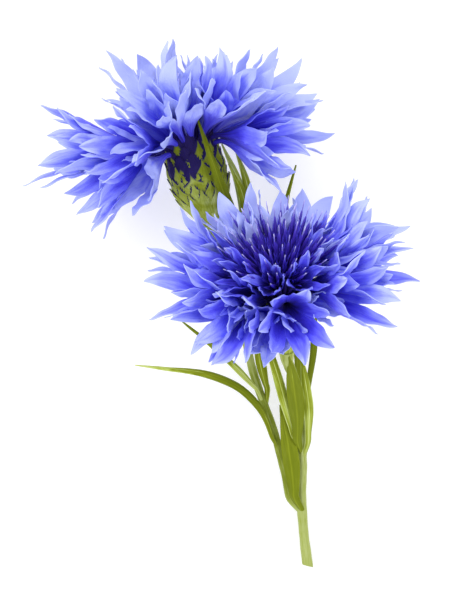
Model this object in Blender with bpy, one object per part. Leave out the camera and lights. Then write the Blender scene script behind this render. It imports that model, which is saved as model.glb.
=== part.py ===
"""A cut sprig of cornflower with two flower heads, lying on a flat surface.

Units are metres and +Z is up. The sprig lies along Y: the cut end of the stem is at -Y and the flower
heads are at +Y. The surface that it lies on is z = 0, and the origin is the middle of the sprig's box
on that surface. One head, the rear one, lies on its side with its petals on the surface. The other, the
front one, is carried above it on its own stalk and looks up.
"""

import math
import random

import bmesh
import bpy
from mathutils import Matrix, Vector

MM = 0.001
# Below this height, in millimetres, petals and leaves bend to lie along the surface.
SOFT_HEIGHT = 0.8

# Flower heads, in millimetres before the sprig is centred. The mouth is the middle of the involucre's
# rim, and the axis points the way the head looks. Azimuth 0 is at +X, and azimuth 90 is the side that
# faces the surface. Each floret is (azimuth, elevation above the rim's plane, length).
FRONT_MOUTH = Vector((9.8, 2.8, 32.0))
FRONT_AXIS = Vector((-0.08, 0.74, 0.67))
FRONT_OUTER_RAYS = (
    (2, 20, 21.5),
    (42, 6, 22.5),
    (80, 0, 21.5),
    (120, 28, 19.0),
    (160, 22, 22.5),
    (200, 25, 22.5),
    (240, 22, 20.5),
    (280, 21, 19.0),
    (324, 23, 22.5),
)
FRONT_INNER_RAYS = (
    (21, 47, 17.5),
    (56, 35, 16.0),
    (93, 50, 16.5),
    (141, 59, 17.0),
    (181, 46, 18.0),
    (221, 49, 18.0),
    (262, 53, 17.5),
    (303, 49, 18.0),
    (344, 45, 18.0),
)
REAR_MOUTH = Vector((-6.0, 27.6, 18.5))
REAR_AXIS = Vector((-0.27, 0.963, 0.0))
REAR_OUTER_RAYS = (
    (8, -5, 23.0),
    (45, 12, 24.5),
    (74, 39, 23.5),
    (108, 70, 24.0),
    (145, 13, 26.0),
    (187, 15, 25.5),
    (208, -15, 22.5),
    (232, 9, 23.0),
    (260, 36, 22.0),
    (302, 29, 22.0),
    (322, -14, 21.5),
    (344, 20, 23.0),
)
REAR_INNER_RAYS = (
    (20, 42, 18.0),
    (52, 61, 20.0),
    (168, 62, 19.0),
    (214, 38, 18.5),
    (278, 64, 18.0),
    (326, 52, 18.5),
)

# Ray florets: a narrow tube that bends out of the head and opens into a trumpet cut into lobes. Each kind
# is (lobes, root radius, start and end of the bend along the tube, size of the trumpet).
PETAL_THICKNESS = 0.25
RAY_ROOT_DEPTH = 3.0
OUTER_KIND = (7, 3.5, 0.8, 6.2, 0.96)
INNER_KIND = (6, 2.25, 2.4, 7.0, 0.53)
ROOT_TILT = 84.0
# The rings are (distance along the floret, radius). Distances are those of a floret of PATTERN_LENGTH, and
# radii from the throat onwards are multiplied by the size of the kind's trumpet.
PATTERN_LENGTH = 24.0
TUBE_RINGS = ((0.0, 0.36), (3.2, 0.36), (5.8, 0.41), (8.6, 0.61))
THROAT_RING = (11.8, 2.0)
MOUTH_RING = (15.2, 3.8)
# Rows of a lobe: (share of the lobe's length, radius added, half width, depth of the middle fold).
LOBE_ROWS = ((0.36, 0.8, 1.4, 0.3), (0.7, 1.8, 0.8, 0.25))
TIP_SPREAD = 3.2
# How much a lobe's length, place, turn and spread vary from the next one's.
LOBE_LENGTHS = (0.75, 1.12)
LOBE_LEAN = 0.14
LOBE_TWIST = 0.5
LOBE_FLARES = (0.8, 1.15)
OUTER_LOBES_LONGER = 0.15

# Involucre: three rows of overlapping bracts round the receptacle. Each row is (start, notch, tip), as
# shares of the involucre's length from the stalk.
INVOLUCRE_LENGTH = 14.5
BRACT_THICKNESS = 0.3
BRACT_STEP = 0.7
BRACTS_PER_ROW = 10
BRACT_ROWS = ((0.02, 0.4, 0.54), (0.18, 0.62, 0.78), (0.4, 0.86, 1.0))

# The receptacle's outline, as (share of the involucre's length, radius).
RECEPTACLE_OUTLINE = ((0.0, 0.9), (0.1, 1.4), (0.28, 2.4), (0.43, 2.8), (0.6, 3.4), (0.79, 3.9))
RECEPTACLE_SIDES = 14

# Disc florets: a tuft of narrow florets in the middle of each head, which stand on one small ring. Every
# third floret has the same radius at its top and the same height. The sections of a floret are (share of
# its height, half width): a tube that opens and then closes to the anthers.
DISC_FLORETS = 12
DISC_BASE = (0.5, 1.3)
DISC_PLATE = 0.5
DISC_SECTIONS = ((0.08, 0.17), (0.45, 0.22), (0.7, 0.38), (0.86, 0.62), (1.0, 0.16))
FRONT_TUFT = ((4.8, 11.6), (3.2, 12.4), (1.4, 13.0))
REAR_TUFT = ((3.4, 12.0), (2.6, 12.8), (1.4, 13.4))

# Stems and leaves, in millimetres before the sprig is centred.
STEM_RADIUS = 0.85
SIDE_STEM_RADIUS = 0.75
MAIN_STEM_ROUTE = (
    (14.9, -46.7, 0.62),
    (14.2, -41.0, 1.0),
    (13.8, -34.8, 2.0),
    (13.9, -27.5, 4.6),
    (13.5, -20.5, 8.6),
    (12.6, -14.0, 13.8),
)
SIDE_STEM_ROUTE = (
    (11.9, -34.4, 1.9),
    (10.2, -27.5, 2.4),
    (8.8, -22.6, 3.0),
    (7.0, -17.6, 3.8),
    (5.0, -11.6, 5.2),
    (3.6, -5.0, 7.6),
    (1.8, 2.4, 11.4),
)
STALK_GAP = 0.35
STALK_STRAIGHT = 3.0
LEAF_THICKNESS = 0.45
LEAF_STEPS = 10
LEAF_LEAST_HALF_WIDTH = 0.16
LEAF_BASE_WIDTH = 0.55
# name: (route, greatest width, share of the length at which it is widest, way that the upper face looks)
LEAVES = {
    "long_leaf": (
        ((8.7, -23.8, 4.3), (6.7, -19.0, 5.5), (2.6, -14.8, 6.8), (-3.4, -12.4, 7.0), (-9.6, -11.6, 5.6),
         (-15.8, -11.0, 2.6)),
        1.6, 0.4, (0.2, 0.6, 1.0),
    ),
    "branch_leaf": (
        ((6.0, -15.4, 5.8), (2.2, -11.4, 7.8), (-2.6, -7.0, 10.4), (-7.4, -3.2, 11.0)),
        1.0, 0.25, (0.3, 0.3, 1.0),
    ),
    "fork_leaf": (
        ((12.5, -34.6, 4.2), (12.0, -29.4, 5.8), (11.2, -24.0, 7.4), (9.9, -18.0, 8.4)),
        2.6, 0.45, (-0.3, 0.0, 1.0),
    ),
    "side_stem_leaf": (
        ((7.6, -15.4, 5.0), (6.6, -11.4, 6.4), (5.8, -6.6, 8.4), (5.0, -0.6, 10.8)),
        1.6, 0.4, (-0.4, 0.0, 1.0),
    ),
    "stalk_left_leaf": (
        ((12.4, -23.4, 8.4), (10.9, -18.0, 13.0), (8.9, -11.0, 18.4), (6.6, -4.6, 22.0)),
        1.5, 0.45, (0.2, 0.0, 1.0),
    ),
    "stalk_front_leaf": (
        ((13.0, -24.4, 8.4), (12.9, -19.6, 12.6), (12.2, -14.0, 17.8), (11.4, -9.4, 22.8)),
        2.4, 0.5, (0.0, -0.4, 1.0),
    ),
    "stalk_right_leaf": (
        ((14.9, -24.8, 7.4), (15.0, -19.0, 11.4), (14.3, -13.6, 15.6), (13.6, -9.0, 19.6)),
        1.6, 0.4, (0.3, -0.3, 1.0),
    ),
    "back_leaf": (
        ((13.2, -15.4, 10.0), (12.6, -4.0, 7.6), (10.6, 8.0, 4.2), (10.9, 17.0, 2.6), (12.8, 24.6, 2.4)),
        1.2, 0.3, (0.0, 0.0, 1.0),
    ),
    "back_bud_leaf": (
        ((14.3, -18.6, 8.6), (16.0, -6.0, 6.6), (14.6, 5.0, 4.0), (15.6, 12.6, 2.6), (18.6, 17.8, 2.0)),
        1.1, 0.3, (0.0, 0.0, 1.0),
    ),
    "collar_leaf_long": (
        ((1.6, 9.4, 16.6), (1.4, 15.0, 20.6), (-1.2, 22.5, 25.2), (-4.6, 32.2, 27.4)),
        1.8, 0.35, (0.2, -0.1, 1.0),
    ),
    "collar_leaf_right": (
        ((3.2, 9.4, 16.0), (4.6, 14.0, 18.6), (4.0, 21.0, 20.6), (2.0, 27.0, 21.6)),
        1.5, 0.4, (0.2, -0.1, 1.0),
    ),
}


# ---- Shared helpers ----


def clear_scene():
    for obj in list(bpy.data.objects):
        bpy.data.objects.remove(obj)


def finish_material(name, colour, roughness):
    """A plain material with the part's colour."""
    material = bpy.data.materials.new(name)
    material.use_nodes = True
    shader = material.node_tree.nodes["Principled BSDF"]
    shader.inputs["Base Color"].default_value = (*colour, 1.0)
    shader.inputs["Roughness"].default_value = roughness
    shader.inputs["Metallic"].default_value = 0.0
    material.diffuse_color = (*colour, 1.0)
    return material


def smooth_step(value):
    value = min(max(value, 0.0), 1.0)
    return value * value * (3 - 2 * value)


def smooth_route(points, count):
    """Evenly counted points on a Catmull-Rom curve through the route's own points."""
    points = [Vector(p) for p in points]
    padded = [2 * points[0] - points[1], *points, 2 * points[-1] - points[-2]]
    spans = len(points) - 1
    route = []
    for k in range(count + 1):
        place = spans * k / count
        i = min(int(place), spans - 1)
        t = place - i
        a, b, c, d = padded[i : i + 4]
        route.append(
            0.5 * (2 * b + (c - a) * t + (2 * a - 5 * b + 4 * c - d) * t**2 + (3 * b - a - 3 * c + d) * t**3)
        )
    return route


def press_to_surface(point):
    """A petal or leaf that would pass through the surface bends and lies along it instead."""
    if point.z >= SOFT_HEIGHT:
        return point
    return Vector((point.x, point.y, SOFT_HEIGHT * math.exp((point.z - SOFT_HEIGHT) / SOFT_HEIGHT)))


def add_strip(bm, lower, upper, closed=True):
    """Faces between two rows of vertices, facing away from the axis that the rows turn about."""
    count = len(lower)
    for j in range(count if closed else count - 1):
        k = (j + 1) % count
        bm.faces.new((lower[j], upper[j], upper[k], lower[k]))


def add_object(name, bm, material, thickness=0.0):
    """A named object from a bmesh in millimetres. A sheet is given its thickness on its outer side."""
    mesh = bpy.data.meshes.new(name)
    for vertex in bm.verts:
        vertex.co *= MM
    bm.to_mesh(mesh)
    bm.free()
    mesh.materials.append(material)
    mesh.shade_smooth()
    obj = bpy.data.objects.new(name, mesh)
    bpy.context.scene.collection.objects.link(obj)
    if thickness:
        solidify = obj.modifiers.new("Thickness", "SOLIDIFY")
        solidify.thickness = thickness * MM
        solidify.offset = 1.0
    return obj


def head_matrix(mouth, axis):
    """The head's own frame: its Z along the axis, its X as near to the sprig's X as that allows."""
    z = axis.normalized()
    y = z.cross(Vector((1, 0, 0))).normalized()
    x = y.cross(z)
    turn = Matrix((x, y, z)).transposed()
    return Matrix.Translation(mouth) @ turn.to_4x4()


# ---- Ray florets ----


class RayLine:
    """The middle line of a ray floret, in the plane of its azimuth: it rises and then bends outwards."""

    STEP = 0.25

    def __init__(self, root_radius, elevation, bend_start, bend_end):
        self.bend_start, self.bend_end = bend_start, bend_end
        self.elevation = elevation
        self.points = [Vector((root_radius, 0, -RAY_ROOT_DEPTH))]
        while len(self.points) * self.STEP < bend_end + self.STEP:
            along = (len(self.points) - 0.5) * self.STEP
            self.points.append(self.points[-1] + self.direction(along) * self.STEP)

    def direction(self, along):
        share = smooth_step((along - self.bend_start) / (self.bend_end - self.bend_start))
        tilt = math.radians(ROOT_TILT + (self.elevation - ROOT_TILT) * share)
        return Vector((math.cos(tilt), 0, math.sin(tilt)))

    def at(self, along, radius, angle):
        """The point at a distance along the line and a radius from it. Angle 0 looks up and inwards."""
        index = min(int(along / self.STEP), len(self.points) - 1)
        forward = self.direction(along)
        centre = self.points[index] + forward * (along - index * self.STEP)
        up = Vector((-forward.z, 0, forward.x))
        side = Vector((0, 1, 0))
        return centre + radius * (math.cos(angle) * up + math.sin(angle) * side)


def ray_floret(name, head, ray, kind, material, seed):
    """A trumpet with pointed lobes. The lobes on its outer side are the longest."""
    azimuth, elevation, length = ray
    lobes, root_radius, bend_start, bend_end, size = kind
    dice = random.Random(seed)
    scale = length / PATTERN_LENGTH
    line = RayLine(root_radius, elevation, bend_start, bend_end)
    to_head = head @ Matrix.Rotation(math.radians(azimuth), 4, "Z")
    bm = bmesh.new()

    def vertex(point):
        return bm.verts.new(press_to_surface(to_head @ point))

    def ring(along, radius, count):
        return [vertex(line.at(along * scale, radius, 2 * math.pi * j / count)) for j in range(count)]

    rows = [ring(along, radius, lobes) for along, radius in TUBE_RINGS]
    for lower, upper in zip(rows, rows[1:]):
        add_strip(bm, lower, upper)
    throat = ring(THROAT_RING[0], THROAT_RING[1] * size, 2 * lobes)
    for i in range(lobes):
        low, next_low = rows[-1][i], rows[-1][(i + 1) % lobes]
        notch, middle, next_notch = throat[2 * i], throat[2 * i + 1], throat[(2 * i + 2) % (2 * lobes)]
        bm.faces.new((low, notch, middle))
        bm.faces.new((low, middle, next_low))
        bm.faces.new((next_low, middle, next_notch))
    mouth = ring(MOUTH_RING[0], MOUTH_RING[1] * size, 2 * lobes)
    add_strip(bm, throat, mouth)

    mouth_along, mouth_radius = MOUTH_RING[0] * scale, MOUTH_RING[1] * size
    for i in range(lobes):
        angle = 2 * math.pi * (i + 0.5) / lobes
        reach = (length - mouth_along) * (1 - OUTER_LOBES_LONGER * math.cos(angle))
        reach *= dice.uniform(*LOBE_LENGTHS)
        lean = dice.uniform(-LOBE_LEAN, LOBE_LEAN)
        twist = dice.uniform(-LOBE_TWIST, LOBE_TWIST)
        flare = size * dice.uniform(*LOBE_FLARES)
        lower = [mouth[2 * i], mouth[2 * i + 1], mouth[(2 * i + 2) % (2 * lobes)]]
        for share, spread, half_width, fold in LOBE_ROWS:
            along = mouth_along + reach * share
            turn = angle + lean * share
            edge_middle = line.at(along, mouth_radius + spread * flare, turn)
            outward = (edge_middle - line.at(along, 0, turn)).normalized()
            across = outward.cross(line.direction(along)).normalized()
            across = (across + outward * twist * share).normalized()
            upper = [
                vertex(edge_middle - across * half_width * size),
                vertex(edge_middle + outward * fold),
                vertex(edge_middle + across * half_width * size),
            ]
            add_strip(bm, lower, upper, closed=False)
            lower = upper
        tip = vertex(line.at(mouth_along + reach, mouth_radius + TIP_SPREAD * flare, angle + lean))
        bm.faces.new((lower[0], tip, lower[1]))
        bm.faces.new((lower[1], tip, lower[2]))
    return add_object(name, bm, material, PETAL_THICKNESS)


# ---- Involucre, receptacle and disc ----


def involucre_radius(share):
    """Outer radius of the stacked bract rows, from the stalk (0) to the rim (1)."""
    return 1.5 + 5.25 * math.sin(math.pi / 2 * share) ** 0.75


def involucre_ring(bm, head, share, radius, count, turn=0.0):
    z = INVOLUCRE_LENGTH * (share - 1)
    ring = []
    for j in range(count):
        angle = turn + 2 * math.pi * j / count
        ring.append(bm.verts.new(head @ Vector((radius * math.cos(angle), radius * math.sin(angle), z))))
    return ring


def bract_row(name, head, row, start, notch, tip, material):
    """One row of bracts, joined at their sides below the notches and pointed above them."""
    bm = bmesh.new()
    turn = math.pi / BRACTS_PER_ROW * row
    inset = BRACT_STEP * row + BRACT_THICKNESS
    rows = []
    for share in (start, (start + notch) / 2, notch):
        radius = involucre_radius(share) - inset
        rows.append(involucre_ring(bm, head, share, radius, 2 * BRACTS_PER_ROW, turn))
    for lower, upper in zip(rows, rows[1:]):
        add_strip(bm, upper, lower)
    point_turn = turn + math.pi / BRACTS_PER_ROW
    points = involucre_ring(bm, head, tip, involucre_radius(tip) - inset, BRACTS_PER_ROW, point_turn)
    top = rows[-1]
    for i, point in enumerate(points):
        left, middle, right = top[2 * i], top[2 * i + 1], top[(2 * i + 2) % len(top)]
        bm.faces.new((left, middle, point))
        bm.faces.new((middle, right, point))
    return add_object(name, bm, material, BRACT_THICKNESS)


def receptacle(name, head, material):
    """The solid heart of the head, which fills the bracts and carries the florets."""
    bm = bmesh.new()
    rings = []
    for share, radius in RECEPTACLE_OUTLINE:
        rings.append(involucre_ring(bm, head, share, radius, RECEPTACLE_SIDES))
    for lower, upper in zip(rings, rings[1:]):
        add_strip(bm, upper, lower)
    bm.faces.new(reversed(rings[0]))
    bm.faces.new(rings[-1])
    bmesh.ops.recalc_face_normals(bm, faces=bm.faces)
    return add_object(name, bm, material)


def disc_tuft(name, head, tuft, material):
    """Narrow disc florets that stand on one base ring and spread with height."""
    bm = bmesh.new()
    base_z, plate_z = -RAY_ROOT_DEPTH, -RAY_ROOT_DEPTH + DISC_PLATE
    inner, outer = DISC_BASE

    def at(radius, angle, z):
        return bm.verts.new(head @ Vector((radius * math.cos(angle), radius * math.sin(angle), z)))

    angles = [2 * math.pi * k / DISC_FLORETS for k in range(DISC_FLORETS)]
    inner_low = [at(inner, a, base_z) for a in angles]
    outer_low = [at(outer, a, base_z) for a in angles]
    inner_top = [at(inner, a, plate_z) for a in angles]
    outer_top = [at(outer, a, plate_z) for a in angles]
    for k in range(DISC_FLORETS):
        n = (k + 1) % DISC_FLORETS
        bm.faces.new((inner_low[k], inner_low[n], outer_low[n], outer_low[k]))
        bm.faces.new((outer_low[k], outer_low[n], outer_top[n], outer_top[k]))
        bm.faces.new((inner_low[n], inner_low[k], inner_top[k], inner_top[n]))
        previous = (inner_top[k], inner_top[n], outer_top[n], outer_top[k])
        middle_angle = angles[k] + math.pi / DISC_FLORETS
        out = Vector((math.cos(middle_angle), math.sin(middle_angle), 0))
        side = Vector((-out.y, out.x, 0))
        root = (inner + outer) / 2
        top_radius, height = tuft[k % len(tuft)]
        for share, half in DISC_SECTIONS:
            radius = root + (top_radius - root) * share**1.5
            centre = out * radius + Vector((0, 0, plate_z + height * share))
            ways = (-out - side, -out + side, out + side, out - side)
            current = tuple(bm.verts.new(head @ (centre + way * half)) for way in ways)
            for i in range(4):
                j = (i + 1) % 4
                bm.faces.new((previous[i], previous[j], current[j], current[i]))
            previous = current
        bm.faces.new(previous)
    bmesh.ops.recalc_face_normals(bm, faces=bm.faces)
    return add_object(name, bm, material)


def flower_head(prefix, mouth, axis, rays, tuft, materials, seed):
    """One head. The rays are the tables of its outer and of its inner ray florets."""
    head = head_matrix(mouth, axis)
    receptacle(f"{prefix}_receptacle", head, materials["bract"])
    for row, (start, notch, tip) in enumerate(BRACT_ROWS):
        bract_row(f"{prefix}_bract_row_{row + 1}", head, row, start, notch, tip, materials["bract"])
    disc_tuft(f"{prefix}_disc_florets", head, tuft, materials["disc"])
    for circle, table, kind, first in zip(("outer", "inner"), rays, (OUTER_KIND, INNER_KIND), (0, 50)):
        for k, ray in enumerate(table):
            name = f"{prefix}_{circle}_floret_{k + 1}"
            ray_floret(name, head, ray, kind, materials["petal"], seed + first + k)


# ---- Stems and leaves ----


def stem(name, route, radius, material, steps):
    """A round stem along a smooth route, with flat cut ends."""
    curve = bpy.data.curves.new(name, "CURVE")
    curve.dimensions = "3D"
    curve.bevel_depth = radius * MM
    curve.bevel_resolution = 2
    curve.use_fill_caps = True
    points = smooth_route(route, steps)
    spline = curve.splines.new("POLY")
    spline.points.add(len(points) - 1)
    for target, point in zip(spline.points, points):
        target.co = (*(point * MM), 1.0)
    curve.materials.append(material)
    obj = bpy.data.objects.new(name, curve)
    bpy.context.scene.collection.objects.link(obj)
    return obj


def leaf(name, route, width, widest, facing, material):
    """A narrow blade, thickest along its midrib, that ends in a point."""
    bm = bmesh.new()
    points = smooth_route(route, LEAF_STEPS)
    facing = Vector(facing).normalized()
    previous = None
    for k, point in enumerate(points[:-1]):
        share = k / LEAF_STEPS
        along = (points[k + 1] - points[max(k - 1, 0)]).normalized()
        side = along.cross(facing).normalized()
        up = side.cross(along).normalized()
        if share < widest:
            half = width / 2 * (LEAF_BASE_WIDTH + (1 - LEAF_BASE_WIDTH) * smooth_step(share / widest))
        else:
            half = width / 2 * (1 - ((share - widest) / (1 - widest)) ** 1.8)
        half = max(half, LEAF_LEAST_HALF_WIDTH)
        rise = LEAF_THICKNESS / 2 * max(1 - share, 0.4)
        corners = (point - side * half, point + up * rise, point + side * half, point - up * rise)
        current = [bm.verts.new(press_to_surface(c)) for c in corners]
        if previous:
            add_strip(bm, previous, current)
        else:
            bm.faces.new(current)
        previous = current
    tip = bm.verts.new(press_to_surface(points[-1]))
    for j in range(4):
        bm.faces.new((previous[j], tip, previous[(j + 1) % 4]))
    bmesh.ops.recalc_face_normals(bm, faces=bm.faces)
    return add_object(name, bm, material)


def stalk_end(mouth, axis):
    """The last two points of a stalk, which meets its head straight on and stops just below it."""
    axis = axis.normalized()
    base = mouth - axis * (INVOLUCRE_LENGTH + STALK_GAP)
    return [tuple(base - axis * STALK_STRAIGHT), tuple(base)]


def centre_on_surface():
    """Moves everything together so that the box's middle is at x = y = 0 and its lowest point at z = 0."""
    bpy.context.view_layer.update()
    graph = bpy.context.evaluated_depsgraph_get()
    corners = []
    for obj in bpy.context.scene.objects:
        evaluated = obj.evaluated_get(graph)
        mesh = evaluated.to_mesh()
        corners += [obj.matrix_world @ v.co for v in mesh.vertices]
        evaluated.to_mesh_clear()
    low = Vector(min(c[i] for c in corners) for i in range(3))
    high = Vector(max(c[i] for c in corners) for i in range(3))
    shift = Vector((-(low.x + high.x) / 2, -(low.y + high.y) / 2, -low.z))
    for obj in bpy.context.scene.objects:
        obj.location = shift
    bpy.context.view_layer.update()


def main():
    clear_scene()
    materials = {
        "petal": finish_material("cornflower_petal", (0.16, 0.17, 0.78), 0.6),
        "disc": finish_material("disc_floret", (0.06, 0.03, 0.3), 0.6),
        "bract": finish_material("bract_green", (0.19, 0.22, 0.02), 0.7),
        "stem": finish_material("stem_green", (0.42, 0.5, 0.12), 0.7),
        "leaf": finish_material("leaf_green", (0.25, 0.3, 0.04), 0.7),
    }
    front_rays, rear_rays = (FRONT_OUTER_RAYS, FRONT_INNER_RAYS), (REAR_OUTER_RAYS, REAR_INNER_RAYS)
    flower_head("front", FRONT_MOUTH, FRONT_AXIS, front_rays, FRONT_TUFT, materials, seed=100)
    flower_head("rear", REAR_MOUTH, REAR_AXIS, rear_rays, REAR_TUFT, materials, seed=300)
    main_route = [*MAIN_STEM_ROUTE, *stalk_end(FRONT_MOUTH, FRONT_AXIS)]
    stem("main_stem", main_route, STEM_RADIUS, materials["stem"], 20)
    side_route = [*SIDE_STEM_ROUTE, *stalk_end(REAR_MOUTH, REAR_AXIS)]
    stem("side_stem", side_route, SIDE_STEM_RADIUS, materials["stem"], 18)
    for name, (route, width, widest, facing) in LEAVES.items():
        leaf(name, route, width, widest, facing, materials["leaf"])
    centre_on_surface()


main()
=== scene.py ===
# %% [markdown]
# # A cut sprig of cornflower
# This lesson dresses a finished CAD frame of a cornflower sprig, *Centaurea cyanus*, with the pieces that
# the eye expects: petals of real thinness, a tuft of disc florets, scaly bracts, ribbed stems and leaves.
# The frame is loaded first. It says where each piece is, so every later step measures the frame instead
# of guessing a place. Lengths in this file are in millimetres and are multiplied by MM where they are
# used, because a plant is easier to think about in millimetres and Blender works in metres.

# %% Load the frame
import math
import random

import bmesh
import bpy
import numpy as np
from mathutils import Matrix, Vector


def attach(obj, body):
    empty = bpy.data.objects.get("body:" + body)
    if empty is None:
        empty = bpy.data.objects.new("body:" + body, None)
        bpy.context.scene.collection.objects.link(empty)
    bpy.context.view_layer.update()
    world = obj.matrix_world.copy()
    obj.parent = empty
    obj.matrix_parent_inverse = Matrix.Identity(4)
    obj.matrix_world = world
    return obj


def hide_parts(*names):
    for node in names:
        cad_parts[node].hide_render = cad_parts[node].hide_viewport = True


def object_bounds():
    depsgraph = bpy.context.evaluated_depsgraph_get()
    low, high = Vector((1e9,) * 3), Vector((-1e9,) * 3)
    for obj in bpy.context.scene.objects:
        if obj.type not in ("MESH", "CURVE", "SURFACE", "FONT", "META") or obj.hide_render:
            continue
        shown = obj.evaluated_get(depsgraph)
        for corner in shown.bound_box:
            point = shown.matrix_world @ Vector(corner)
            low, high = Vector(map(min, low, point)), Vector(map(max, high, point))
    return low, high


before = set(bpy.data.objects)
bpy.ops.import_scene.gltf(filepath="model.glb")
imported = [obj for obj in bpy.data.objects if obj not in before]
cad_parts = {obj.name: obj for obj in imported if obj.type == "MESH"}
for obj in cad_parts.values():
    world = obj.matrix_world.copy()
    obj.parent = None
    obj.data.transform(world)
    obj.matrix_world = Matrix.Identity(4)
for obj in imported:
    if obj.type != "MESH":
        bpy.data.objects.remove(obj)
cad_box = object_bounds()
MM = 0.001
WELD = 0.001 * MM
print("CAD box:", [tuple(round(value / MM, 2) for value in corner) for corner in cad_box])

# %% [markdown]
# ## Small tools for the whole lesson
# An operator works on everything that is selected, and loading the frame leaves it all selected. So each
# piece starts by selecting nothing and then only itself. In edit mode a piece's vertices are picked by
# their place, as a modeller picks them with the mouse.

# %% Selecting and shaping
def select_nothing():
    """Leaves edit mode if need be and deselects all objects."""
    if bpy.context.object is not None and bpy.context.object.mode != "OBJECT":
        bpy.ops.object.mode_set(mode="OBJECT")
    bpy.ops.object.select_all(action="DESELECT")


def select_only(obj):
    """Selects one object and makes it active."""
    select_nothing()
    obj.select_set(True)
    bpy.context.view_layer.objects.active = obj


def new_primitive(add, name, **settings):
    """Adds a primitive at the origin with nothing else selected, names it and enters edit mode."""
    select_nothing()
    add(location=(0, 0, 0), **settings)
    obj = bpy.context.object
    obj.name = obj.data.name = name
    bpy.ops.object.mode_set(mode="EDIT")
    return obj


def select_mesh():
    """In edit mode, selects the whole mesh."""
    bpy.ops.mesh.select_all(action="SELECT")


def pick(obj, test):
    """In edit mode, selects the vertices whose place passes the test, and what lies between them."""
    mesh = bmesh.from_edit_mesh(obj.data)
    mesh.select_mode = {"VERT"}
    for vertex in mesh.verts:
        vertex.select = bool(test(vertex.co))
    mesh.select_flush(False)
    mesh.select_flush(True)
    bmesh.update_edit_mesh(obj.data)


def grow(dx=0.0, dy=0.0, dz=0.0):
    """Extrudes the selected edges and moves the new ones, in millimetres."""
    bpy.ops.mesh.extrude_edges_move(TRANSFORM_OT_translate={"value": (dx * MM, dy * MM, dz * MM)})


def widen(x, y, about):
    """Scales the selection across the piece, about a point in millimetres."""
    bpy.ops.transform.resize(value=(x, y, 1.0), center_override=tuple(value * MM for value in about))


def grow_rings(rings, flat=False):
    """Extrudes the selection from each (distance, radius) to the next. A flat one widens along X only."""
    for (z, radius), (next_z, next_radius) in zip(rings, rings[1:]):
        share = next_radius / radius
        grow(dz=next_z - z)
        widen(share, 1.0 if flat else share, (0, 0, next_z))


# %% Finishing and copying
def apply_modifier(obj, kind, **settings):
    """Adds a modifier, sets it up and applies it at once, so that the mesh is what is seen."""
    select_only(obj)
    modifier = obj.modifiers.new(kind.title(), kind)
    for key, value in settings.items():
        setattr(modifier, key, value)
    bpy.ops.object.modifier_apply(modifier=modifier.name)


def thicken(obj, thickness):
    """Makes a sheet a solid, half to each side. Thickness is in millimetres."""
    apply_modifier(obj, "SOLIDIFY", thickness=thickness * MM, offset=0.0)


def keep_as_pattern(obj, levels=0):
    """Leaves edit mode, smooths the mesh if levels are given and hides it, because only copies are seen."""
    bpy.ops.object.mode_set(mode="OBJECT")
    if levels:
        apply_modifier(obj, "SUBSURF", levels=levels, render_levels=levels)
    obj.hide_render = obj.hide_viewport = True
    print(obj.name, len(obj.data.polygons), "faces")
    return obj


def places(obj):
    """The vertices' places as one numpy array."""
    values = np.empty(len(obj.data.vertices) * 3)
    obj.data.vertices.foreach_get("co", values)
    return values.reshape(-1, 3)


def set_places(obj, values):
    obj.data.vertices.foreach_set("co", np.ascontiguousarray(values, dtype=np.float32).ravel())
    obj.data.update()


def mark(obj, name, values):
    """Stores a number for each vertex, or one for all, which a material can read as an attribute."""
    attribute = obj.data.attributes.get(name) or obj.data.attributes.new(name, "FLOAT", "POINT")
    values = np.broadcast_to(values, len(obj.data.vertices))
    attribute.data.foreach_set("value", np.ascontiguousarray(values, dtype=np.float32))


def copy_piece(obj, name):
    """A visible copy with a mesh of its own."""
    twin = obj.copy()
    twin.data = obj.data.copy()
    twin.name = twin.data.name = name
    twin.hide_render = twin.hide_viewport = False
    bpy.context.scene.collection.objects.link(twin)
    return twin


# %% Handing a piece to the frame
SMOOTH_BELOW = 50
pieces_made = []


def settle(obj, material, replaced=()):
    """Hands a finished piece to the frame: what it rides on, its finish, and the CAD nodes it stands for."""
    select_only(obj)
    obj.data.materials.clear()
    obj.data.materials.append(material)
    bpy.ops.object.shade_smooth_by_angle(angle=math.radians(SMOOTH_BELOW))
    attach(obj, "root")
    if replaced:
        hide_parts(*replaced)
    pieces_made.append(obj.name)


# %% [markdown]
# ## Colours and nodes
# A colour picked from a screen is an sRGB value, and a shader wants linear light, so one function turns
# each hex value. A second one adds a node with its settings and its links, so that a material reads as a
# list of what it is made of. Skins of plants end in the same way, so one more function gives them their
# colour, gloss and fine relief, which is often mottled, or a row of ridges: the veins.

# %% Colour and node helpers
def linear(hex_colour):
    """A linear RGBA colour from an sRGB hex value."""
    channels = [int(hex_colour[i : i + 2], 16) / 255 for i in (1, 3, 5)]
    return (*[c / 12.92 if c <= 0.04045 else ((c + 0.055) / 1.055) ** 2.4 for c in channels], 1.0)


def new_material(name, *attributes):
    """A material, its node tree, its Principled shader, and an output for each attribute that it reads."""
    material = bpy.data.materials.new(name)
    material.use_nodes = True
    tree = material.node_tree
    read = [add_node(tree, "Attribute", output="Fac", attribute_name=title) for title in attributes]
    return material, tree, tree.nodes["Principled BSDF"], *read


def add_node(tree, kind, inputs=(), output=0, **settings):
    """Adds a node and hands back one of its outputs. Settings are its properties, and inputs are
    {socket: value, or another node's output}."""
    node = tree.nodes.new(f"ShaderNode{kind}")
    for key, value in settings.items():
        setattr(node, key, value)
    for socket, value in dict(inputs).items():
        if isinstance(value, bpy.types.NodeSocket):
            tree.links.new(value, node.inputs[socket])
        else:
            node.inputs[socket].default_value = value
    return node.outputs[output]


def set_ramp(output, stops):
    """Gives the colour ramp behind an output its (position, sRGB hex) stops."""
    elements = output.node.color_ramp.elements
    while len(elements) > 1:
        elements.remove(elements[-1])
    elements[0].position, elements[0].color = stops[0][0], linear(stops[0][1])
    for position, colour in stops[1:]:
        elements.new(position).color = linear(colour)
    return output


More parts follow.
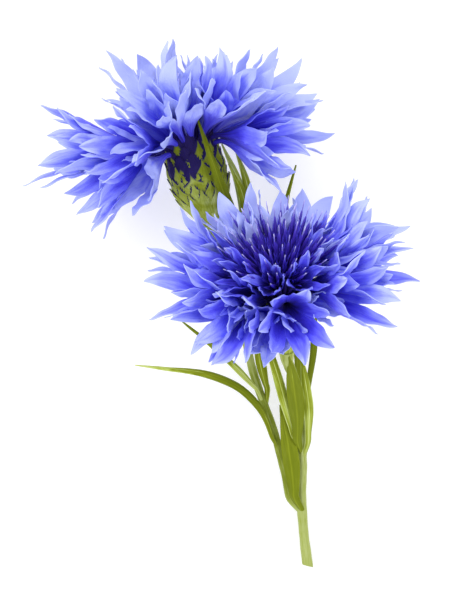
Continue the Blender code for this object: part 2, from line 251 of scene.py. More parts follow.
def mottling(tree, size):
    """Noise in the piece itself, with a grain of so many millimetres."""
    place = add_node(tree, "TexCoord", output="Object")
    return add_node(tree, "TexNoise", {"Vector": place, "Scale": 1 / (size * MM), "Detail": 3.0})


def ridges(tree, across, count):
    """The height of fine ridges side by side: so many half waves from the middle to the margin."""
    wave = add_node(tree, "Math", {0: across, 1: count * math.pi}, operation="MULTIPLY")
    return add_node(tree, "Math", {0: wave}, operation="COSINE")


def finish_skin(tree, shader, colour, gloss, height, relief):
    """Links colour and bump. Gloss is (roughness, specular) and relief is (strength, depth in mm)."""
    tree.links.new(colour, shader.inputs["Base Color"])
    shader.inputs["Roughness"].default_value, shader.inputs["Specular IOR Level"].default_value = gloss
    strength, depth = relief
    bump = add_node(tree, "Bump", {"Height": height, "Strength": strength, "Distance": depth * MM})
    tree.links.new(bump, shader.inputs["Normal"])


# %% [markdown]
# ## Camera, light and floor
# The sprig is seen from straight above through a long lens, which keeps near and far parts at nearly the
# same scale. A pale sky lights it from all round, and two large soft lamps give the petals their form.

# %% Camera, light and floor
VIEW_HEIGHT = 105.0
VIEW_CENTRE = (-0.07, 0.25)
CAMERA_HEIGHT = 1500.0
FOCUS_HEIGHT = 26.0
SENSOR = 36.0
CAMERA_REACH = 10_000
SKY_STRENGTH = 1.08
LAMP_SIZE = 700
FLOOR_SIDE = 4000

scene = bpy.context.scene
scene.view_settings.view_transform = "Standard"
camera = bpy.data.objects.new("camera", bpy.data.cameras.new("camera"))
scene.collection.objects.link(camera)
scene.camera = camera
camera.data.sensor_width = SENSOR
camera.data.lens = SENSOR * (CAMERA_HEIGHT - FOCUS_HEIGHT) / VIEW_HEIGHT
camera.data.clip_end = CAMERA_REACH * MM
camera.location = (VIEW_CENTRE[0] * MM, VIEW_CENTRE[1] * MM, CAMERA_HEIGHT * MM)

world = bpy.data.worlds.new("pale_sky")
world.use_nodes = True
sky = world.node_tree.nodes["Background"]
sky.inputs["Color"].default_value = linear("#fbfbff")
sky.inputs["Strength"].default_value = SKY_STRENGTH
scene.world = world


def soft_lamp(name, place, power):
    """A square lamp that looks at the middle of the sprig. Place is in millimetres, power in watts."""
    lamp = bpy.data.lights.new(name, "AREA")
    lamp.size = LAMP_SIZE * MM
    lamp.energy = power
    holder = bpy.data.objects.new(name, lamp)
    holder.location = Vector(place) * MM
    holder.rotation_euler = (-holder.location).to_track_quat("-Z", "Y").to_euler()
    scene.collection.objects.link(holder)


soft_lamp("window_light", (-420, 380, 620), 3.2)
soft_lamp("fill_light", (520, -260, 700), 2.2)

floor = new_primitive(bpy.ops.mesh.primitive_plane_add, "floor", size=FLOOR_SIDE * MM)
bpy.ops.object.mode_set(mode="OBJECT")
card, tree, shader = new_material("matt_white_card")
# The card glows a little, so that the shadows on it stay pale.
for socket, value in (
    ("Base Color", linear("#e3e3e4")), ("Emission Color", linear("#ffffff")), ("Emission Strength", 0.3),
    ("Roughness", 0.9), ("Specular IOR Level", 0.1),
):
    shader.inputs[socket].default_value = value
floor.data.materials.append(card)
print("lens", round(camera.data.lens), "mm")

# %% [markdown]
# ## Reading lines from the frame
# Every stem, leaf and floret in the frame is a row of rings round a line. Starting from the ring at one
# end and stepping to the neighbours again and again gives the rings one by one, and the middles of the
# rings are the line that a new piece follows.

# %% Rings of a node
def rings_of(node, start):
    """The node's rings in order, each an array of places. Start picks the first ring's vertices."""
    mesh = bmesh.new()
    mesh.from_mesh(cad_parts[node].data)
    bmesh.ops.remove_doubles(mesh, verts=mesh.verts, dist=WELD)
    current = {vertex for vertex in mesh.verts if start(vertex.co)}
    seen, rings = set(current), []
    while current:
        rings.append(np.array([vertex.co[:] for vertex in current]))
        reached = {edge.other_vert(vertex) for vertex in current for edge in vertex.link_edges}
        current = reached - seen
        seen |= current
    mesh.free()
    return rings


# %% A smooth line
class Line:
    """A smooth line through given points, with a place and three directions at each distance along it."""

    STEPS = 400

    def __init__(self, points, side=None, up=None):
        points = np.array([tuple(p) for p in points], float)
        padded = np.vstack([2 * points[0] - points[1], points, 2 * points[-1] - points[-2]])
        place = np.linspace(0, len(points) - 1, self.STEPS)
        index = np.minimum(place.astype(int), len(points) - 2)
        t = (place - index)[:, None]
        a, b, c, d = (padded[index + k] for k in range(4))
        self.points = 0.5 * (
            2 * b + (c - a) * t + (2 * a - 5 * b + 4 * c - d) * t**2 + (3 * b - a - 3 * c + d) * t**3
        )
        forward = np.gradient(self.points, axis=0)
        self.forward = forward / np.linalg.norm(forward, axis=1)[:, None]
        if side is None:
            side = np.cross(np.array(up, float), self.forward)
        elif np.ndim(side) == 2:
            number = np.arange(len(points))
            side = np.stack([np.interp(place, number, side[:, k]) for k in range(3)], axis=1)
        side = np.broadcast_to(np.array(side, float), forward.shape)
        side = side - self.forward * (side * self.forward).sum(axis=1)[:, None]
        self.side = side / np.linalg.norm(side, axis=1)[:, None]
        self.up = np.cross(self.forward, self.side)
        steps = np.linalg.norm(np.diff(self.points, axis=0), axis=1)
        self.distance = np.concatenate([[0.0], np.cumsum(steps)])
        self.length = self.distance[-1]

    def lay(self, values):
        """Moves places modelled along +Z so that they follow the line: X goes to its side, Y to its up."""
        along = np.clip(values[:, 2], 0, self.length)
        beyond = values[:, 2] - along

        def sample(rows):
            return np.stack([np.interp(along, self.distance, rows[:, k]) for k in range(3)], axis=1)

        forward = sample(self.forward)
        moved = sample(self.points) + beyond[:, None] * forward
        return moved + values[:, :1] * sample(self.side) + values[:, 1:2] * sample(self.up)


# %% The two heads
class Head:
    """A flower head's own frame, measured from the turned solid in its middle."""

    # The solid reaches from the stalk to this share of the involucre's length.
    SOLID_SHARE = 0.79
    # What lies this near to its top is its rim.
    RIM_DEPTH = 0.05

    def __init__(self, name):
        self.name = name
        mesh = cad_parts[f"{name}_receptacle"].data
        solid = np.unique(np.round([vertex.co[:] for vertex in mesh.vertices], 7), axis=0)
        middle = solid.mean(axis=0)
        axis = np.linalg.svd(solid - middle, full_matrices=False)[2][0]
        if axis[1] < 0:
            axis = -axis
        heights = (solid - middle) @ axis
        self.length = float(heights.max() - heights.min()) / self.SOLID_SHARE
        self.axis = axis
        rim = solid[heights > heights.max() - self.RIM_DEPTH * MM].mean(axis=0)
        self.mouth = rim + axis * self.length * (1 - self.SOLID_SHARE)
        y = np.cross(axis, (1.0, 0.0, 0.0))
        self.y = y / np.linalg.norm(y)
        self.x = np.cross(self.y, axis)

    def place(self, x, y, z):
        """A point of the head's frame, in millimetres, as a place in the sprig's frame."""
        return self.mouth + (self.x * x + self.y * y + self.axis * z) * MM

    def inside(self, values):
        """Places of the sprig's frame in the head's frame, in millimetres."""
        offset = (values - self.mouth) / MM
        return np.stack([offset @ self.x, offset @ self.y, offset @ self.axis], axis=1)


heads = {name: Head(name) for name in ("front", "rear")}
for head in heads.values():
    print(head.name, "mouth", np.round(head.mouth / MM, 2), "axis", np.round(head.axis, 3))

# %% [markdown]
# ## One straight floret
# A cornflower head has no simple petals. Each blue trumpet is a whole floret: a tube as thin as a pin
# that widens into a funnel and is cut into long pointed lobes. It could be drawn bent, but a straight one
# is far easier to model, and can be laid along any line later. One lobe's share of the trumpet is modelled
# from three vertices of a circle, extruded ring by ring and then row by row to its point. Spin copies that
# strip round the axis, and the copies are merged where they meet.

# %% Straight corolla
TIP_CREASE = 0.9


def straight_corolla(name, lobes, rings, rows, tip, levels):
    """A trumpet along +Z. Rings are (distance, radius). Rows are (distance, radius, half width, roll),
    and tip is (distance, radius). Roll is how deep the lobe's trough is beside the mouth's own arc."""
    step = math.pi / lobes
    obj = new_primitive(
        bpy.ops.mesh.primitive_circle_add, name,
        vertices=2 * lobes, radius=rings[0][1] * MM, fill_type="NOTHING",
    )
    pick(obj, lambda place: math.atan2(abs(place.x), place.y) > 1.1 * step)
    bpy.ops.mesh.delete(type="VERT")
    select_mesh()
    grow_rings(rings)
    z, radius = rings[-1]
    half_width, roll = radius * math.sin(step), 1.0
    for next_z, next_radius, next_half, next_roll in rows:
        grow(dy=next_radius - radius, dz=next_z - z)
        widen(next_half / half_width, next_roll / roll, (0, next_radius, next_z))
        z, radius, half_width, roll = next_z, next_radius, next_half, next_roll
    grow(dy=tip[1] - radius, dz=tip[0] - z)
    bpy.ops.mesh.merge(type="CENTER")
    bpy.ops.transform.vert_crease(value=TIP_CREASE)
    select_mesh()
    sweep = 2 * math.pi * (lobes - 1) / lobes
    bpy.ops.mesh.spin(steps=lobes - 1, dupli=True, angle=sweep, center=(0, 0, 0), axis=(0, 0, 1))
    select_mesh()
    bpy.ops.mesh.remove_doubles(threshold=WELD)
    # Half a lobe's turn, so that the first lobe starts at +Y as the frame's first lobe does.
    bpy.ops.transform.rotate(value=step, orient_axis="Z", center_override=(0, 0, 0))
    bpy.ops.mesh.normals_make_consistent(inside=False)
    return keep_as_pattern(obj, levels)


# %% The two kinds of trumpet
# Distances and radii of a floret that is 24 mm long. Past the tube, its radii are for a size of 1.
PATTERN_LENGTH = 24.0
TUBE_LENGTH = 8.6
TUBE = ((0.0, 0.36), (3.2, 0.36), (5.8, 0.41), (TUBE_LENGTH, 0.61))
FUNNEL = (11.8, 2.0)
MOUTH_DISTANCE, MOUTH_RADIUS = 15.2, 3.8
TIP_SPREAD = 3.2
# Each row of a lobe: (distance past the mouth, spread, half width, roll).
LOBE_ROWS = ((1.5, 0.35, 1.64, 0.9), (3.4, 0.9, 1.64, 0.8), (5.4, 1.7, 1.36, 0.6), (7.2, 2.4, 0.74, 0.4))


def trumpet(name, lobes, size, levels=2):
    """A ray floret. Size is how wide its trumpet opens."""
    mouth = MOUTH_RADIUS * size
    rings = (*TUBE, (FUNNEL[0], FUNNEL[1] * size), (MOUTH_DISTANCE, mouth))
    rows = [
        (MOUTH_DISTANCE + along, mouth + spread * size, half_width * size, roll)
        for along, spread, half_width, roll in LOBE_ROWS
    ]
    return straight_corolla(name, lobes, rings, rows, (PATTERN_LENGTH, mouth + TIP_SPREAD * size), levels)


OUTER_LOBES, INNER_LOBES = 7, 6
OUTER_SIZE, INNER_SIZE = 0.96, 0.53
outer_trumpet = trumpet("straight_outer_floret", OUTER_LOBES, OUTER_SIZE)
inner_trumpet = trumpet("straight_inner_floret", INNER_LOBES, INNER_SIZE)

# %% [markdown]
# ## Laying a floret along its line
# On the real flower no two trumpets are alike. Each straight copy keeps its lobes but has them stretched,
# leaned and spread until every tip is where the frame has it, and is then bent along the middle line of
# its own frame piece. Before it bends, its lobes are ruffled and curled a little, as thin petals are.
# A thickness of an eighth of a millimetre comes last, so that the sheet is a solid that can be printed.
# The vertices also keep five numbers for the material: how far they are from the root, where they are
# across their lobe, which lobe it is, how pale the whole floret is as painted light and shade, and a number
# of the floret's own.

# %% Shaping a floret
# Petals that come nearer to the surface than PETAL_SOFT bend, and none comes nearer than LOWEST.
PETAL_SOFT, LOWEST = 0.8, 0.12
LOBE_HALF_WIDTH = 1.65
MARGIN_RUFFLE, FUNNEL_RUFFLE = 0.12, 0.05
# How far lobes differ in twist, width, curl, the phase of their ruffle, and sway.
LOBE_LIMITS = ((-0.6, 0.6), (0.95, 1.4), (-1.1, 1.2), (0, 2 * math.pi), (-0.4, 0.4))


def smooth_step(values):
    values = np.clip(values, 0.0, 1.0)
    return values * values * (3 - 2 * values)


def keep_above_surface(values, soft=PETAL_SOFT):
    """What would pass through the surface bends and lies along it instead."""
    soft, lowest = soft * MM, LOWEST * MM
    z = values[:, 2]
    values[:, 2] = np.where(z < soft, lowest + (soft - lowest) * np.exp((z - soft) / (soft - lowest)), z)
    return values


def shape_floret(obj, lobes, size, scale, targets, dice):
    """Stretches, leans, spreads, twists and ruffles the lobes of a straight floret, still along +Z."""
    values = places(obj) / MM
    angle = np.mod(np.arctan2(values[:, 0], values[:, 1]), 2 * math.pi)
    wedge = 2 * math.pi / lobes
    lobe = np.minimum((angle / wedge).astype(int), lobes - 1)
    middle = (lobe + 0.5) * wedge
    beyond = np.maximum(values[:, 2] - MOUTH_DISTANCE, 0.0)
    share = beyond / (PATTERN_LENGTH - MOUTH_DISTANCE)
    across = values[:, 0] * np.cos(middle) - values[:, 1] * np.sin(middle)
    out = values[:, 0] * np.sin(middle) + values[:, 1] * np.cos(middle)
    mouth = MOUTH_RADIUS * size
    lobe_half = LOBE_HALF_WIDTH * size * (1 - share**1.6)
    half = np.maximum(np.where(share > 0, lobe_half, np.abs(out) * math.tan(wedge / 2)), 0.05)
    mark(obj, "reach", values[:, 2] / PATTERN_LENGTH)
    mark(obj, "across", np.clip(across / half, -1, 1))
    mark(obj, "lobe", lobe)

    twist, width, curl, wave, sway = (
        np.array([dice.uniform(*limits) for _ in range(lobes)])[lobe]
        for limits in LOBE_LIMITS
    )
    reach, radius, lean = (np.array(column)[lobe] for column in targets)
    spread = (radius - mouth) / (TIP_SPREAD * size)
    nominal = mouth + TIP_SPREAD * size * share**1.15
    out = out + (spread - 1) * (nominal - mouth)
    out += across * twist * share + curl * share**2 * 0.9
    margin = np.abs(across / half) * np.minimum(beyond, 3.0) / 3.0
    out += MARGIN_RUFFLE * np.sin(values[:, 2] * 1.5 + wave) * margin
    across = across * (1 - share * (1 - width))
    turn = middle + lean * share + sway * share * (1 - share) * 2
    along = np.where(beyond > 0, MOUTH_DISTANCE * scale + reach * share, values[:, 2] * scale)
    opening = smooth_step((values[:, 2] - TUBE_LENGTH) / 4)
    ruffle = 1 + FUNNEL_RUFFLE * opening * np.sin(angle * 3 + wave[0] + values[:, 2] * 0.5)
    moved = np.stack([
        across * np.cos(turn) + out * ruffle * np.sin(turn),
        -across * np.sin(turn) + out * ruffle * np.cos(turn),
        along,
    ], axis=1)
    set_places(obj, moved * MM)


# %% Laying a floret
PETAL_THICKNESS = 0.13
# A frame floret has this many rings up to its mouth, its tips are the last ring, and its root lies this
# deep in the head and this near to its axis.
THROAT_RINGS, TIP_RING = 6, 8
ROOT_BELOW, ROOT_WITHIN = 2.0, 5.0
# The straight floret's distance between the last two throat rings, and how far its line goes on.
LAST_STEP, STRAIGHT_ON = 3.4, 14
# The number by which the material tells florets apart stays below this.
FLORET_NUMBERS = 97


def root_of(rings, head):
    """Where a floret starts in its head's frame, and its azimuth there."""
    root = head.inside(rings[0].mean(axis=0)[None])[0]
    return root, math.atan2(root[1], root[0])


def moved_rings(rings, head, turn, lift, shrink):
    """A floret's rings, shrunk towards its root, lifted towards the head's axis and turned round it."""
    root, azimuth = root_of(rings, head)
    turned = np.array(Matrix.Rotation(math.radians(turn), 3, "Z"))
    to_line = Matrix.Rotation(-math.radians(lift), 3, "Y") @ Matrix.Rotation(-azimuth, 3, "Z")
    back = Matrix.Rotation(azimuth + math.radians(turn), 3, "Z")
    to_line, back = np.array(to_line), np.array(back)
    found = []
    for ring in rings:
        inside = (head.inside(ring) - root) * shrink
        inside = inside @ to_line.T @ back.T + turned @ root
        found.append(head.mouth + (inside @ np.array([head.x, head.y, head.axis])) * MM)
    return found


def lay_floret(straight, name, head, node, lobes, size, tone, seed, move=None):
    """A copy of a straight floret, laid along the line of a frame node. Move is (turn, lift, shrink)."""
    dice = random.Random(seed)

    def at_root(place):
        inside = head.inside(np.array([place[:]]))[0]
        return inside[2] < -ROOT_BELOW and math.hypot(inside[0], inside[1]) < ROOT_WITHIN

    rings = rings_of(node, at_root)
    if move:
        rings = moved_rings(rings, head, *move)
    centres = [ring.mean(axis=0) for ring in rings[:THROAT_RINGS]]
    mouth = centres[-1]
    last_step = np.linalg.norm(mouth - centres[-2])
    forward = (mouth - centres[-2]) / last_step
    scale = last_step / (LAST_STEP * MM)
    _, azimuth = root_of(rings, head)
    side = -math.sin(azimuth) * head.x + math.cos(azimuth) * head.y
    up = np.cross(forward, side)

    offset = (rings[TIP_RING] - mouth) / MM
    tip_along = offset @ forward
    tip_angle = np.arctan2(offset @ side, offset @ up)
    tip_radius = np.hypot(offset @ side, offset @ up)
    targets = ([], [], [])
    for i in range(lobes):
        middle = 2 * math.pi * (i + 0.5) / lobes
        away = np.mod(tip_angle - middle + math.pi, 2 * math.pi) - math.pi
        nearest = np.argsort(np.abs(away))[:2]
        for column, found in zip(targets, (tip_along, tip_radius, away)):
            column.append(float(found[nearest].mean()))

    floret = copy_piece(straight, name)
    shape_floret(floret, lobes, size, scale, targets, dice)
    end = mouth + forward * STRAIGHT_ON * MM
    line = Line([*centres, (mouth + end) / 2, end], side=side)
    set_places(floret, keep_above_surface(line.lay(places(floret))))
    mark(floret, "tone", tone)
    mark(floret, "seed", seed % FLORET_NUMBERS)
    thicken(floret, PETAL_THICKNESS)
    return floret


# %% [markdown]
# ## Petal
# A cornflower's petal is thin living tissue with a satin surface, and its blue is a pigment in the skin
# cells.
# The ramp also paints light and shade into it: the dark indigo down in the throat and the deep blue where
# petals shade each other are painted shade, and the pale periwinkle towards the points is partly pigment
# and partly a painted highlight. Fine veins run along it. So one number for each vertex, its distance from
# the root, runs through a ramp of blues, and noise that is stretched along the petal breaks the ramp into
# streaks.

# %% Petal material
def petal_material():
    """Satin living petal: soft gloss, fine lengthways veins, and a blue with painted shade in the throat that
    pales towards the points, partly pigment and partly painted highlight.
    """
    material, tree, shader, reach, across, lobe, tone, seed = new_material(
        "satin_blue_petal", "reach", "across", "lobe", "tone", "seed"
    )
    number = add_node(tree, "Math", {0: lobe, 1: seed}, operation="ADD")
    flow = add_node(tree, "CombineXYZ", {"X": across, "Y": reach, "Z": number})
    stretched = add_node(tree, "Mapping", {"Vector": flow, "Scale": (1.1, 3.5, 7.3)})
    grain = {"Vector": stretched, "Scale": 1.4, "Detail": 3.0, "Roughness": 0.55}
    streaks = add_node(tree, "TexNoise", grain)
    # How pale: the distance from the root, which paints shade in the throat and a highlight at the points,
    # more for a pale floret, with the streaks on top.
    shift = add_node(tree, "Math", {0: streaks, 1: 0.55, 2: -0.275}, operation="MULTIPLY_ADD")
    each = add_node(tree, "TexWhiteNoise", {"W": number}, noise_dimensions="1D")
    shift = add_node(tree, "Math", {0: each, 1: 0.16, 2: shift}, operation="MULTIPLY_ADD")
    paler = add_node(tree, "Math", {0: reach, 1: 1.05, 2: shift}, operation="MULTIPLY_ADD")
    # The floret's tone adds painted light and shade to the whole floret.
    level = add_node(tree, "Math", {0: paler, 1: tone}, operation="ADD")
    # The margins of a lobe are a little paler than its middle.
    margin = add_node(tree, "Math", {0: across, 1: 2.0}, operation="POWER")
    margin = add_node(tree, "Math", {0: margin, 1: 0.1, 2: -0.25}, operation="MULTIPLY_ADD")
    level = add_node(tree, "Math", {0: level, 1: margin}, operation="ADD")
    colour = set_ramp(add_node(tree, "ValToRGB", {"Fac": level}), (
        (0.18, "#21146f"), (0.33, "#3228ac"), (0.45, "#3f37cf"), (0.58, "#5754e4"), (0.7, "#7175f0"),
        (0.82, "#9097f5"), (0.97, "#b4bef9"),
    ))
    shader.inputs["Sheen Weight"].default_value = 0.04
    # Seven veins to a lobe, about half a millimetre apart.
    finish_skin(tree, shader, colour, (0.5, 0.22), ridges(tree, across, 7), (0.25, 0.05))
    return material


petal = petal_material()

# %% [markdown]
# ## Ray florets of both heads
# The frame has an outer circle of wide trumpets and an inner circle of narrower ones on each head. Each
# node gets its own floret. Petals that face the light look paler than those that hang in the shade of the
# rest, so each floret has a tone that paints this light and shade into its colour. A real head is fuller
# than the frame, so more florets fill the gaps: each takes the line of a frame floret, turned round the
# head, lifted and shortened. In the same way a few of the frame's own florets lean a little from their
# lines or are smaller, where a head looks looser.

# %% Two kinds of ray floret
KINDS = {
    "outer": (outer_trumpet, OUTER_LOBES, OUTER_SIZE),
    "inner": (inner_trumpet, INNER_LOBES, INNER_SIZE),
}

# %% Tones, fillings and leans
# Tones of each circle of florets, in the order of their numbers: painted light and shade, paler where a
# floret faces the light and darker where it hangs in shade.
FLORET_LIGHT_AND_SHADE = {
    "front_outer": (0.03, 0.2, 0.4, 0.31, 0.18, 0.07, 0.02, 0.0, 0.07),
    "front_inner": (-0.07, 0.42, 0.5, 0.44, -0.1, -0.19, -0.1, -0.09, 0.1),
    "rear_outer": (0.15, 0.1, 0.32, 0.56, -0.02, 0.09, 0.06, 0.08, 0.3, 0.14, 0.01, 0.31),
    "rear_inner": (0.14, 0.3, 0.54, 0.4, 0.65, 0.44),
}
# A filling's trumpet opens by this share of a frame floret's.
FILLING_SIZE = 0.9
# Florets that fill gaps: (number of the frame floret, turn and lift in degrees, share of its size, tone of
# painted light and shade).
FILLS = {
    "front_outer": (
        (1, 27, 2, 1.04, 0.2), (3, 18, 6, 0.82, 0.4), (4, 22, 8, 0.84, 0.19), (5, 20, 10, 0.84, -0.11),
        (6, 22, -4, 0.84, 0.12), (7, 20, -10, 0.66, 0.12), (7, -14, -14, 0.72, -0.04), (9, 20, 8, 0.84, 0.02),
        (1, 14, 3, 0.95, 0.16),
    ),
    "front_inner": (
        (7, -16, -38, 0.84, 0.17), (7, 12, -42, 0.8, 0.03), (6, 14, -30, 0.84, 0.0), (8, 8, -28, 0.84, 0.25),
        (6, 12, -14, 0.9, -0.1),
    ),
    "rear_outer": (
        (1, 16, 12, 0.86, 0.38), (4, 20, 4, 0.96, 0.6), (6, 2, 0, 0.92, 0.14), (7, -14, -2, 0.86, 0.1),
        (8, 12, 12, 0.84, 0.3), (9, 18, 10, 0.86, 0.3), (10, 14, 12, 0.84, 0.02), (12, -10, 8, 0.88, 0.3),
        (11, 6, -12, 0.84, 0.19), (7, 14, -2, 0.74, 0.36),
    ),
}
# The frame's own florets that lean: (turn and lift in degrees, share of the size).
LEANS = {
    "front_outer_floret_1": (0, -6, 0.94), "front_outer_floret_3": (-14, 0, 0.9),
    "rear_outer_floret_3": (0, 0, 0.88), "rear_outer_floret_4": (0, 0, 0.9),
    "rear_outer_floret_5": (0, -8, 0.9), "rear_outer_floret_6": (0, 2, 1.03),
    "rear_outer_floret_7": (-3, 4, 0.98), "rear_inner_floret_4": (0, 8, 0.75),
}

# %% Ray florets
# Each floret's small differences come from its seed: the first one, and the step to the next.
FRAME_SEED, FRAME_STEP = 1000, 37
FILLING_SEED, FILLING_STEP = 3000, 41
for head_name, head in heads.items():
    for kind, (straight, lobes, size) in KINDS.items():
        circle = f"{head_name}_{kind}"
        for k, tone in enumerate(FLORET_LIGHT_AND_SHADE[circle]):
            node = f"{circle}_floret_{k + 1}"
            seed = FRAME_SEED + FRAME_STEP * k
            name, move = f"{node}_petals", LEANS.get(node)
            floret = lay_floret(straight, name, head, node, lobes, size, tone, seed, move)
            settle(floret, petal, [node])
        for k, (number, *move, tone) in enumerate(FILLS.get(circle, ())):
            seed = FILLING_SEED + FILLING_STEP * k
            node, name = f"{circle}_floret_{number}", f"{circle}_filling_{k + 1}"
            floret = lay_floret(straight, name, head, node, lobes, size * FILLING_SIZE, tone, seed, move)
            settle(floret, petal)
print(len(pieces_made), "ray florets")

# %% [markdown]
# ## Disc florets
# The dark heart of a cornflower is a crowd of small tubular florets. Each has a thin tube, five narrow
# violet lobes and a column of fused dark violet anthers that stands out of them, from which a pale
# style tip pokes. A tuft could be faked with one bumpy dome, but from the side the gaps between the
# columns show, so one floret is modelled with the same tool as the trumpets, and copies stand on the
# receptacle in the spiral that seeds follow, a golden angle apart.

# %% Straight disc floret
DISC_LOBES = 5
DISC_TOP = 12.0
DISC_TUBE = ((0.0, 0.27), (4.0, 0.27), (6.0, 0.33), (7.3, 0.6), (8.3, 0.72))
DISC_ROWS = ((9.2, 0.84, 0.36, 0.8), (10.4, 1.15, 0.24, 0.6))
disc_corolla = straight_corolla(
    "straight_disc_floret", DISC_LOBES, DISC_TUBE, DISC_ROWS, (DISC_TOP, 1.65), levels=1
)


def straight_rod(name, sections, sides):
    """A closed rod along +Z. Sections are (distance, radius) and its two ends are closed to points."""
    start, radius = sections[0]
    obj = new_primitive(
        bpy.ops.mesh.primitive_circle_add, name, vertices=sides, radius=radius * MM, fill_type="TRIFAN"
    )
    select_mesh()
    bpy.ops.transform.translate(value=(0, 0, start * MM))
    pick(obj, lambda place: place.xy.length > 0.5 * radius * MM)
    bpy.ops.mesh.select_mode(type="EDGE")
    grow_rings(sections)
    grow(dz=sections[-1][1] * 0.8)
    bpy.ops.mesh.merge(type="CENTER")
    select_mesh()
    bpy.ops.mesh.remove_doubles(threshold=WELD)
    bpy.ops.mesh.normals_make_consistent(inside=False)
    return keep_as_pattern(obj, levels=1)


anther_column = straight_rod(
    "straight_anthers", ((6.0, 0.2), (8.0, 0.3), (11.0, 0.34), (12.6, 0.3), (13.2, 0.16)), 7
)
style_tip = straight_rod("straight_style", ((12.8, 0.1), (13.9, 0.09), (14.5, 0.13), (14.9, 0.07)), 6)

# %% [markdown]
# ## Disc materials
# The corollas are the same living tissue as the petals, but deep violet with a bluer rim. Anthers are
# smoother and as dark, and the style tips are dusted with pale lilac pollen.

# %% Disc materials
def along_material(name, stops, roughness, grain_size, grain_strength):
    """Plant tissue coloured along its length by its reach attribute, and mottled by fine noise."""
    material, tree, shader, reach, tone = new_material(name, "reach", "tone")
    grain = mottling(tree, grain_size)
    centred = {0: grain, 1: grain_strength, 2: -grain_strength / 2}
    shift = add_node(tree, "Math", centred, operation="MULTIPLY_ADD")
    toned = add_node(tree, "Math", {0: reach, 1: tone}, operation="ADD")
    level = add_node(tree, "Math", {0: toned, 1: shift}, operation="ADD")
    colour = set_ramp(add_node(tree, "ValToRGB", {"Fac": level}), stops)
    finish_skin(tree, shader, colour, (roughness, 0.5), grain, (0.3, 0.05))
    return material


violets = ((0.0, "#5a4fb0"), (0.45, "#39259a"), (0.7, "#36228f"), (0.86, "#4330b4"), (1.0, "#5448d6"))
disc_tissue = along_material("violet_disc_tissue", violets, 0.5, 0.6, 0.25)
inks = ((0.0, "#38259a"), (0.8, "#3d2aa3"), (1.0, "#4a39b8"))
anther_skin = along_material("dark_anther_skin", inks, 0.4, 0.4, 0.3)
lilacs = ((0.0, "#6f63b8"), (0.6, "#8d86d6"), (1.0, "#c9c4f0"))
pollen = along_material("lilac_pollen", lilacs, 0.85, 0.15, 0.4)


# %% Standing the disc florets on the receptacle
GOLDEN_ANGLE = math.pi * (3 - math.sqrt(5))
# The florets' feet stand this deep below the mouth, from this radius to as much more at the rim.
ROOT_DEPTH, ROOT_RADIUS, ROOT_SPREAD = 3.0, 0.3, 2.0
DISC_THICKNESS = 0.09
# They lean out more and more towards their tops, and those at the rim are shorter by this share.
LEAN_POWER, RIM_SHORTER = 1.7, 0.2
DISC_PARTS = {"corollas": disc_corolla, "anthers": anther_column, "styles": style_tip}


def join_pieces(parts, name):
    """Joins several objects into the first one."""
    select_only(parts[0])
    for part in parts[1:]:
        part.select_set(True)
    bpy.ops.object.join()
    joined = bpy.context.object
    joined.name = joined.data.name = name
    return joined


def disc_tuft(head, count, spread, height, dice):
    """Corollas, anthers and styles of one head, as three pieces."""
    found = {kind: [] for kind in DISC_PARTS}
    for k in range(count):
        share = math.sqrt((k + 0.5) / count)
        azimuth = k * GOLDEN_ANGLE + dice.uniform(-0.15, 0.15)
        top = spread * share * dice.uniform(0.9, 1.08)
        rise = height * (1 - RIM_SHORTER * share**2) * dice.uniform(0.93, 1.05)
        low = ROOT_RADIUS + ROOT_SPREAD * share
        points = []
        for along in (0.0, 0.35, 0.7, 1.0):
            radius = low + (top - low) * along**LEAN_POWER
            x, y = radius * math.cos(azimuth), radius * math.sin(azimuth)
            points.append(head.place(x, y, -ROOT_DEPTH + (rise + ROOT_DEPTH) * along))
        turn = dice.uniform(0, math.pi)
        line = Line(points, side=head.x * math.cos(turn) + head.y * math.sin(turn))
        for kind, model in DISC_PARTS.items():
            part = copy_piece(model, f"{kind}_{k}")
            values = places(part)
            start, end = values[:, 2].min(), values[:, 2].max()
            mark(part, "reach", (values[:, 2] - start) / (end - start))
            mark(part, "tone", dice.uniform(-0.08, 0.08))
            values[:, 2] *= line.length / (DISC_TOP * MM)
            set_places(part, line.lay(values))
            found[kind].append(part)
    pieces = {kind: join_pieces(parts, f"{head.name}_disc_{kind}") for kind, parts in found.items()}
    thicken(pieces["corollas"], DISC_THICKNESS)
    return pieces


# %% Both tufts
# For each head: (how many, radius of the tuft at its top, its height above the mouth).
TUFTS = {"front": (72, 9.6, 11.0), "rear": (40, 5.6, 10.5)}
TUFT_SEED = 7
for name, (count, spread, height) in TUFTS.items():
    tuft = disc_tuft(heads[name], count, spread, height, random.Random(TUFT_SEED))
    settle(tuft["corollas"], disc_tissue, [f"{name}_disc_florets"])
    settle(tuft["anthers"], anther_skin)
    settle(tuft["styles"], pollen)
    print(name, "disc:", count, "florets")

# %% [markdown]
# ## Involucre
# Below the petals sits the involucre, an egg of overlapping green bracts. Every bract is a small cupped
# scale with a dark fringe of teeth round its upper edge. The frame has three simple rows. Here one scale
# is modelled flat, with its fringe, and copies are laid like roof tiles up the same outline, each row
# tucked under the one below it and turned by half a scale.

# %% One straight bract
BRACT_LENGTH = 7.0
# Half widths of the scale: (distance, half width).
BRACT_OUTLINE = ((0.0, 1.1), (1.4, 1.6), (3.0, 1.85), (4.4, 1.65), (5.6, 1.15), (6.5, 0.6))
FRINGE_START, TOOTH_LENGTH, TOOTH_LEAN = 2.6, 0.5, 0.42


